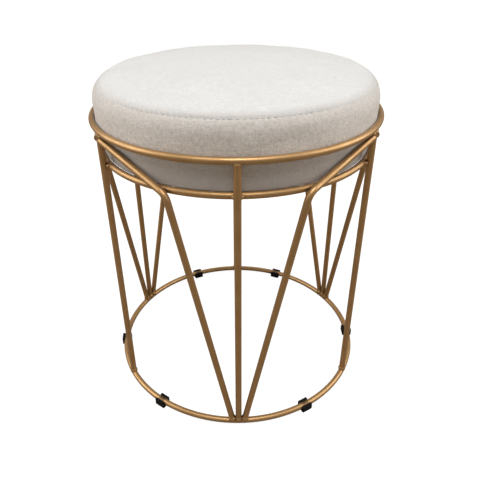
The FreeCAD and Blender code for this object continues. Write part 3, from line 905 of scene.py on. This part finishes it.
class StuffedForm:
    """How far the stuffed cover stands off its profile, on a grid down the profile and round it."""

    ROWS_APART = 0.005
    LEAST_TOP_ROWS = 6
    COLUMNS = 180
    FRAMES = 20
    SLACK_EASE = 0.35

    def __init__(self, profile, seat):
        self.profile = profile
        self.seat = seat
        rows = int((profile.hem - profile.crown) / self.ROWS_APART)
        top_rows = max(self.LEAST_TOP_ROWS, int(-profile.crown / self.ROWS_APART))
        top = np.linspace(profile.crown * FORM_REACH, 0.0, top_rows)
        side = np.linspace(0.0, profile.hem, rows - top_rows)[1:]
        self.distances = np.concatenate([top, side])
        self.offsets = np.zeros((len(self.distances), self.COLUMNS))
        self.stuff()

    def slack(self, distance):
        """How far inside its form the loose cover starts."""
        if distance < 0:
            share = min(1.0, distance / (self.profile.crown * self.SLACK_EASE))
            return self.seat.slack_top * math.sin(share * math.pi / 2)
        return self.seat.slack_side * math.sin(min(1.0, distance / self.profile.corner) * math.pi)

    def loose_row(self, distance, place, facing):
        """One row of the cover before it is stuffed."""
        start = place - facing * self.slack(distance)
        row = round_row(start[0], start[1], self.COLUMNS)
        clear = min(1.0, abs(distance) / LOOSE_LUMPS_CLEAR)
        wave = lumps(row, LOOSE_LUMPS, seed=2) * self.seat.lump_height * clear
        return row + outward(facing, self.COLUMNS) * wave[:, None]

    def sew(self, form):
        """Holds the loose cover at its seam, at its hem and in the middle of its underside."""
        sewn = form.vertex_groups.new(name="sewn")
        for number, distance in enumerate(self.distances):
            if abs(distance) < TINY or distance > self.profile.corner:
                first = 1 + number * self.COLUMNS
                sewn.add(range(first, first + self.COLUMNS), 1.0, "REPLACE")
        sewn.add([len(form.data.vertices) - 1], 1.0, "REPLACE")

    def blow_up(self, form):
        """Stuffs the sewn cover as cloth with air in it, and gives where its points come to rest."""
        cloth = form.modifiers.new("stuffing", "CLOTH")
        cloth.settings.quality = 6
        cloth.settings.mass = 0.15
        cloth.settings.tension_stiffness = 30.0
        cloth.settings.compression_stiffness = 30.0
        cloth.settings.shear_stiffness = 12.0
        cloth.settings.bending_stiffness = 1.5
        cloth.settings.vertex_group_mass = "sewn"
        cloth.settings.use_pressure = True
        cloth.settings.uniform_pressure_force = self.seat.stuffing
        cloth.settings.effector_weights.gravity = 0.0
        cloth.collision_settings.use_collision = False
        cloth.point_cache.frame_start = 1
        cloth.point_cache.frame_end = self.FRAMES
        for number in range(1, self.FRAMES + 1):
            bpy.context.scene.frame_set(number)
        stuffed = form.evaluated_get(bpy.context.evaluated_depsgraph_get())
        rested = np.zeros(len(form.data.vertices) * 3)
        stuffed.data.vertices.foreach_get("co", rested)
        bpy.context.scene.frame_set(1)
        return rested.reshape(-1, 3)

    def stuff(self):
        """Sews the loose cover, stuffs it, and measures how far it then stands off its profile."""
        places = [self.profile.place(distance) for distance in self.distances]
        facings = [self.profile.facing(distance) for distance in self.distances]
        rows = [self.loose_row(*line) for line in zip(self.distances, places, facings)]
        centre = np.array([[0.0, 0.0, rows[0][:, 2].mean()]])
        under = np.array([[0.0, 0.0, SEAT_BASE]])
        form = mesh_from_rows("loose_cover", [centre, *rows, under])
        self.sew(form)
        loose = np.concatenate([centre, *rows, under])
        moved = self.blow_up(form) - loose
        mesh = form.data
        bpy.data.objects.remove(form)
        bpy.data.meshes.remove(mesh)
        far = np.linalg.norm(moved, axis=1, keepdims=True)
        moved *= np.minimum(1.0, self.seat.swell_limit / np.maximum(far, TINY))
        ended = (loose + moved)[1:-1].reshape(len(self.distances), self.COLUMNS, 3)
        for number, (place, facing) in enumerate(zip(places, facings)):
            stand = ended[number] - round_row(place[0], place[1], self.COLUMNS)
            self.offsets[number] = (stand * outward(facing, self.COLUMNS)).sum(axis=1)

    def row(self, distance, number):
        """The stand-off at a distance from the seam, for a row with a number of points."""
        last = len(self.distances) - 1
        where = np.interp(distance, self.distances, np.arange(last + 1))
        at = min(int(where), last - 1)
        around = [self.offsets[min(max(index, 0), last)] for index in range(at - 1, at + 3)]
        wave = np.fft.rfft(curve_between(*around, where - at))
        return np.fft.irfft(wave, n=number) * number / self.COLUMNS


def seam_pull(angle):
    """How hard the seam is drawn in at an angle round the pad, from slack to 1."""
    place = Vector((math.sin(angle), math.cos(angle), 0.0)) * PULL_RATE
    return min(1.0, max(PULL_LEAST, PULL_MIDDLE + PULL_SWING * noise.noise(place + SEAM_SEED)))


def seam_roll(seat, distance, number):
    """Depth of the groove where a panel's edge rolls into the seam."""
    inward = max(0.0, 1.0 - abs(distance) / seat.seam_width)
    return seat.seam_depth * inward * inward * np.array([seam_pull(angle) for angle in turns(number)])


def seam_puckers(seat, distance, number):
    """Depth of the small puckers that the stitches draw into the cloth beside the seam."""
    turn = turns(number)
    wander = drift_round(turn, rate=9.0, seed=4.0)
    pull = np.array([seam_pull(angle) for angle in turn])
    strength = pull * (PUCKER_MIDDLE + PUCKER_SWING * wander)
    fade = math.exp(-abs(distance) / seat.pucker_reach)
    shift = PUCKER_SHIFT * wander
    return seat.pucker_depth * fade * strength * (0.5 + 0.5 * np.cos(turn * seat.stitch_count + shift))


def hem_pleats(seat, profile, distance, number):
    """Depth of the pleats that gather the cover under the board."""
    if distance < profile.corner:
        return np.zeros(number)
    depth = seat.pleat_depth * min(1.0, (distance - profile.corner) / PLEAT_START)
    turn = turns(number)
    shift = PLEAT_SHIFT * drift_round(turn, rate=5.0, seed=9.0)
    fold = np.abs(np.sin(0.5 * (turn * seat.pleat_count + shift)))
    return depth * (1.0 - fold) ** PLEAT_SHARPNESS


def ring_room(height):
    """The share of its unevenness that the cover keeps at a height, next to the rings."""
    nearest = min(abs(height - RING_HEIGHT), abs(height - SUPPORT_HEIGHT))
    return min(1.0, nearest / RING_REACH)


def cover_row(seat, profile, form, distance, number):
    """One finished row of the cover's outer face."""
    place = profile.place(distance)
    facing = profile.facing(distance)
    row = round_row(place[0], place[1], number)
    height = form.row(distance, number)
    clear = min(1.0, abs(distance) / FACE_LUMPS_CLEAR)
    if distance < profile.corner:
        height = height + lumps(row, FACE_LUMPS, seed=7) * seat.lump_height * clear
    height = height * ring_room(place[1])
    height = height - seam_roll(seat, distance, number)
    height = height - seam_puckers(seat, distance, number)
    height = height - hem_pleats(seat, profile, distance, number)
    return row + outward(facing, number) * height[:, None]


def inner_row(profile, distance, depth):
    """One row of the cover's inner face, which the stuffing hides."""
    place = profile.place(distance) - profile.facing(distance) * depth
    return round_row(place[0], place[1], INNER_COUNT)


def row_count(radius):
    """How many points a row of the top panel has."""
    if radius > MIDDLE_RADIUS:
        return OUTER_COUNT
    return INNER_COUNT if radius > CENTRE_RADIUS else CENTRE_COUNT


def top_panel(seat, profile, form):
    """The round top panel: its crowned face, its edge turned into the seam, and its backing."""
    stand = form.row(profile.crown * FORM_REACH, CENTRE_COUNT).mean()
    face = graded(-SEAM_LIP, profile.crown * FACE_REACH, FINE_STEP, coarse=0.005, growth=1.2)[::-1]
    rows = [np.array([[0.0, 0.0, profile.place(profile.crown)[1] + stand]])]
    for distance in [*face, -SEAM_PART]:
        rows.append(cover_row(seat, profile, form, distance, row_count(profile.place(distance)[0])))
    rows.append(inner_row(profile, -SEAM_LIP, seat.seam_depth + SEAM_ALLOWANCE))
    backing = 2 * seat.cloth_thickness
    for distance in np.linspace(-SEAM_BACKING, profile.crown * BACKING_REACH, TOP_BACKING_ROWS):
        rows.append(inner_row(profile, distance, backing))
    rows.append(np.array([[0.0, 0.0, CROWN_HEIGHT - backing]]))
    return mesh_from_rows("seat_top_panel", rows)


def side_band(seat, profile, form):
    """The side band: its edge in the seam, its face, the hem folded under the board, and its backing."""
    middle = 0.5 * profile.corner
    face = [SEAM_PART, *graded(SEAM_LIP, middle, FINE_STEP, coarse=0.003, growth=1.2)]
    face += graded(profile.corner, middle, fine=0.0006, coarse=0.003, growth=1.25)[::-1][1:]
    face += list(steps_to(profile.corner, profile.hem, steps=7))
    face += graded(profile.hem, profile.end, fine=0.0008, coarse=0.0025, growth=1.25)[1:]
    rows = [inner_row(profile, SEAM_LIP, seat.seam_depth + SEAM_ALLOWANCE)]
    for distance in face:
        rows.append(cover_row(seat, profile, form, distance, OUTER_COUNT))
    backing = seat.cloth_thickness - SEAM_PART
    under = np.linspace(profile.end, profile.hem, HEM_BACKING_ROWS)
    behind = np.linspace(profile.hem - seat.hem_corner, SEAM_BACKING, SIDE_BACKING_ROWS)
    for distance in [*under, *behind]:
        rows.append(inner_row(profile, distance, backing))
    return mesh_from_rows("seat_side_band", rows, closed=True)


def stitch_rows(seat, profile, stitch):
    """Rows of points round one stitch that lies in the seam."""
    pitch = 2 * math.pi / seat.stitch_count
    middle = stitch * pitch
    facing = profile.facing(0.0)
    place = profile.place(0.0) - facing * (seat.seam_depth * seam_pull(middle) + STITCH_SINK)
    up = np.array([0.0, 0.0, 1.0])
    rows = []
    for along, girth in STITCH_LINE:
        turn = middle + along * pitch
        out = np.array([math.sin(turn), -math.cos(turn), 0.0])
        over = out * facing[0] + up * facing[1]
        across = out * facing[1] - up * facing[0]
        slant = across * along * STITCH_SLANT
        bow = over * STITCH_BOW * math.cos(along * math.pi)
        heart = out * place[0] + up * place[1] + slant + bow
        ring = [
            heart + THREAD_RADIUS * girth * (over * math.cos(angle) + across * math.sin(angle))
            for angle in turns(STITCH_SIDES)
        ]
        rows.append(np.array(ring))
    return rows


def lining_row(seat, radius, height, number):
    """One row of the lining, which sags in the middle and ripples between its staples."""
    row = round_row(radius, height, number)
    share = min(1.0, radius / (LINING_HELD * LINING_RADIUS))
    sag = seat.lining_sag * (1.0 - share * share)
    ripple = RIPPLE_HEIGHT * share ** 3 * (1.0 - share ** 10) * np.cos(STAPLE_COUNT * turns(number))
    crease = CREASE_HEIGHT * lumps(row, CREASES, seed=3) * (1.0 - share ** 6)
    row[:, 2] -= sag + ripple + crease
    return row


def lining_face(seat, radii, height):
    """Rows of one face of the lining, at radii given in order."""
    rows = []
    for radius in radii:
        number = LINING_COUNT if radius > LINING_CENTRE_RADIUS else LINING_CENTRE_COUNT
        rows.append(lining_row(seat, radius, height, number))
    return rows


def lining_sheet(seat):
    """The round lining under the seat, with its two faces."""
    under = LINING_LOW.z
    over = LINING_HIGH.z
    even_radii = np.linspace(LINING_FIRST_RADIUS, LINING_LAST * LINING_RADIUS, LINING_ROWS)
    radii = [*LINING_MIDDLE_RADII, *even_radii, LINING_RADIUS]
    rows = [lining_row(seat, 0.0, over, 1)]
    rows += lining_face(seat, radii, over)
    rows += lining_face(seat, reversed(radii), under)
    rows.append(lining_row(seat, 0.0, under, 1))
    return mesh_from_rows("seat_lining_cloth", rows)


# Studio

# Places and sizes of the lights, and the camera's sensor
SIDE_LIGHT_OUT = 1.6
SIDE_LIGHT_BACK = -0.05
SIDE_LIGHT_RISE = 1.1
SIDE_LIGHT_SIZE = 1.5
FRONT_LIGHT_PLACE = (0.0, -0.8, 2.0)
FRONT_LIGHT_SIZE = 0.9
SENSOR_WIDTH = 36.0
WHITE = (1.0, 1.0, 1.0, 1.0)


def lay_floor(stage):
    """A wide floor that glows white to the camera, so that shadows on it stay faint; clear from below."""
    reach = 12.0
    drop = -0.0002
    mesh = bpy.data.meshes.new("studio_floor")
    corners = [(x * reach, y * reach, drop) for x, y in ((-1, -1), (1, -1), (1, 1), (-1, 1))]
    mesh.from_pydata(corners, [], [(0, 1, 2, 3)])
    floor = bpy.data.objects.new("studio_floor", mesh)
    bpy.context.scene.collection.objects.link(floor)
    plain = {
        "Base Color": stage.floor,
        "Roughness": 0.8,
        "Specular IOR Level": 0.1,
        "Emission Color": WHITE,
    }
    material, tree, shader = new_material("studio_floor", plain)
    path = add_node(tree, "ShaderNodeLightPath")
    glow = reckon(tree, "MULTIPLY", path.outputs["Is Camera Ray"], stage.floor_glow)
    tree.links.new(glow, shader.inputs["Emission Strength"])
    below = add_node(tree, "ShaderNodeNewGeometry").outputs["Backfacing"]
    tree.links.new(reckon(tree, "SUBTRACT", 1.0, below), shader.inputs["Alpha"])
    mesh.materials.append(material)


def hang_light(name, place, size, strength):
    """One soft square light aimed at the seat."""
    lamp = bpy.data.lights.new(name, "AREA")
    lamp.shape = "SQUARE"
    lamp.size = size
    lamp.energy = strength
    light = bpy.data.objects.new(name, lamp)
    light.location = place
    aim = Vector((0.0, 0.0, SEAT_BASE)) - Vector(place)
    light.rotation_euler = aim.to_track_quat("-Z", "Y").to_euler()
    bpy.context.scene.collection.objects.link(light)


def hang_lights(stage):
    """A light on each side and one above the camera."""
    for name, side in (("left_light", -1), ("right_light", 1)):
        place = (side * SIDE_LIGHT_OUT, SIDE_LIGHT_BACK, SIDE_LIGHT_RISE)
        hang_light(name, place, SIDE_LIGHT_SIZE, stage.side_power)
    hang_light("front_light", FRONT_LIGHT_PLACE, FRONT_LIGHT_SIZE, stage.front_power)


def light_surround(stage):
    """Light that falls off from overhead to the sides, and that the camera sees as plain white."""
    world = bpy.data.worlds.new("studio_surround")
    world.use_nodes = True
    tree = world.node_tree
    back = tree.nodes["Background"]
    height = upward_part(tree, add_node(tree, "ShaderNodeTexCoord").outputs["Generated"])
    rise = spread_range(tree, height, low=0.2, high=0.9)
    sky = mix_colours(tree, rise, stage.surround_low, stage.surround_high)
    path = add_node(tree, "ShaderNodeLightPath")
    tree.links.new(mix_colours(tree, path.outputs["Is Camera Ray"], sky, WHITE), back.inputs["Color"])
    bpy.context.scene.world = world


def stand_camera(stage):
    """The camera at the photograph's viewing angle."""
    yaw, pitch, lean = stage.camera_turn
    ahead = Vector((math.sin(yaw) * math.cos(pitch), math.cos(yaw) * math.cos(pitch), -math.sin(pitch)))
    right = Vector((math.cos(yaw), -math.sin(yaw), 0.0))
    up = right.cross(ahead)
    leaned_right = right * math.cos(lean) + up * math.sin(lean)
    leaned_up = up * math.cos(lean) - right * math.sin(lean)
    lens = bpy.data.cameras.new("photo_camera")
    lens.lens = stage.lens
    lens.sensor_width = SENSOR_WIDTH
    lens.shift_x, lens.shift_y = stage.lens_shift
    lens.clip_start = 0.01
    lens.clip_end = 100.0
    camera = bpy.data.objects.new("photo_camera", lens)
    axes = Matrix((leaned_right, leaned_up, -ahead)).transposed()
    camera.matrix_world = Matrix.Translation(Vector(stage.camera_place)) @ axes.to_4x4()
    bpy.context.scene.collection.objects.link(camera)
    bpy.context.scene.camera = camera


# Operators

class POUF_OT_wire_frame(bpy.types.Operator):
    """Paint the rings, uprights, braces and weld beads of the cage."""

    bl_idname = "pouf.wire_frame"
    bl_label = "Paint the cage"

    def execute(self, context):
        finish = context.scene.pouf_finish
        dress(FRAME_BARS, gold_paint(finish, "gold_paint_bar", pebble_scale=650.0, relief=0.00003))
        dress(FRAME_WELDS, gold_paint(finish, "gold_paint_weld", pebble_scale=900.0, relief=0.00012))
        return {"FINISHED"}


class POUF_OT_glides(bpy.types.Operator):
    """Finish the black glides under the base ring."""

    bl_idname = "pouf.glides"
    bl_label = "Finish the glides"

    def execute(self, context):
        dress(GLIDES, glide_plastic(context.scene.pouf_finish))
        return {"FINISHED"}


class POUF_OT_seat_board(bpy.types.Operator):
    """Finish the seat board and the staples under it."""

    bl_idname = "pouf.seat_board"
    bl_label = "Finish the board and staples"

    def execute(self, context):
        finish = context.scene.pouf_finish
        dress(["seat_board"], board_wood(finish))
        dress(["lining_staples"], staple_wire(finish))
        return {"FINISHED"}


class POUF_OT_seat_cover(bpy.types.Operator):
    """Sew and stuff the velvet cover: the top panel, the side band and the thread in the seam."""

    bl_idname = "pouf.seat_cover"
    bl_label = "Make the seat cover"

    def execute(self, context):
        seat = context.scene.pouf_seat
        finish = context.scene.pouf_finish
        profile = CoverProfile(seat)
        form = StuffedForm(profile, seat)
        top = top_panel(seat, profile, form)
        top.data.materials.append(velvet_top(finish))
        side = side_band(seat, profile, form)
        side.data.materials.append(velvet_side(finish))
        stitches = [stitch_rows(seat, profile, stitch) for stitch in range(seat.stitch_count)]
        thread = joined_rows_mesh("seam_thread", stitches)
        thread.data.materials.append(sewing_thread(finish))
        for piece in (top, side, thread):
            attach(piece, "seat")
        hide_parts("cover_top", "seat_foam")
        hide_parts("cover_side")
        return {"FINISHED"}


class POUF_OT_seat_lining(bpy.types.Operator):
    """Stretch the lining under the seat board."""

    bl_idname = "pouf.seat_lining"
    bl_label = "Make the lining"

    def execute(self, context):
        cloth = lining_sheet(context.scene.pouf_seat)
        cloth.data.materials.append(lining_felt(context.scene.pouf_finish))
        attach(cloth, "seat")
        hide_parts("seat_lining")
        return {"FINISHED"}


class POUF_OT_stage(bpy.types.Operator):
    """Set up the floor, the lights and the camera."""

    bl_idname = "pouf.stage"
    bl_label = "Set up the studio"

    def execute(self, context):
        stage = context.scene.pouf_stage
        lay_floor(stage)
        hang_lights(stage)
        light_surround(stage)
        stand_camera(stage)
        context.scene.view_settings.view_transform = "Standard"
        return {"FINISHED"}


class POUF_PT_sidebar(bpy.types.Panel):
    """The pouf's steps and settings in the sidebar."""

    bl_idname = "POUF_PT_sidebar"
    bl_label = "Round wire pouf"
    bl_space_type = "VIEW_3D"
    bl_region_type = "UI"
    bl_category = "Pouf"

    def draw(self, context):
        layout = self.layout
        for step in STEPS:
            layout.operator(step.bl_idname)
        for group in (context.scene.pouf_seat, context.scene.pouf_finish, context.scene.pouf_stage):
            box = layout.box()
            for name in group.__annotations__:
                box.prop(group, name)


SETTINGS = {
    "pouf_seat": PoufSeatSettings,
    "pouf_finish": PoufFinishSettings,
    "pouf_stage": PoufStageSettings,
}
STEPS = [
    POUF_OT_stage,
    POUF_OT_wire_frame,
    POUF_OT_glides,
    POUF_OT_seat_board,
    POUF_OT_seat_cover,
    POUF_OT_seat_lining,
]


def register():
    """Makes the settings, operators and panel known to Blender."""
    for name, group in SETTINGS.items():
        bpy.utils.register_class(group)
        setattr(bpy.types.Scene, name, bpy.props.PointerProperty(type=group))
    for step in [*STEPS, POUF_PT_sidebar]:
        bpy.utils.register_class(step)


def unregister():
    """Takes the settings, operators and panel out again."""
    for step in reversed([*STEPS, POUF_PT_sidebar]):
        bpy.utils.unregister_class(step)
    for name, group in SETTINGS.items():
        delattr(bpy.types.Scene, name)
        bpy.utils.unregister_class(group)


def main():
    """Builds the dressed pouf step by step."""
    register()
    bpy.ops.pouf.stage()
    bpy.ops.pouf.wire_frame()
    bpy.ops.pouf.glides()
    bpy.ops.pouf.seat_board()
    bpy.ops.pouf.seat_cover()
    bpy.ops.pouf.seat_lining()


if __name__ == "__main__":
    main()
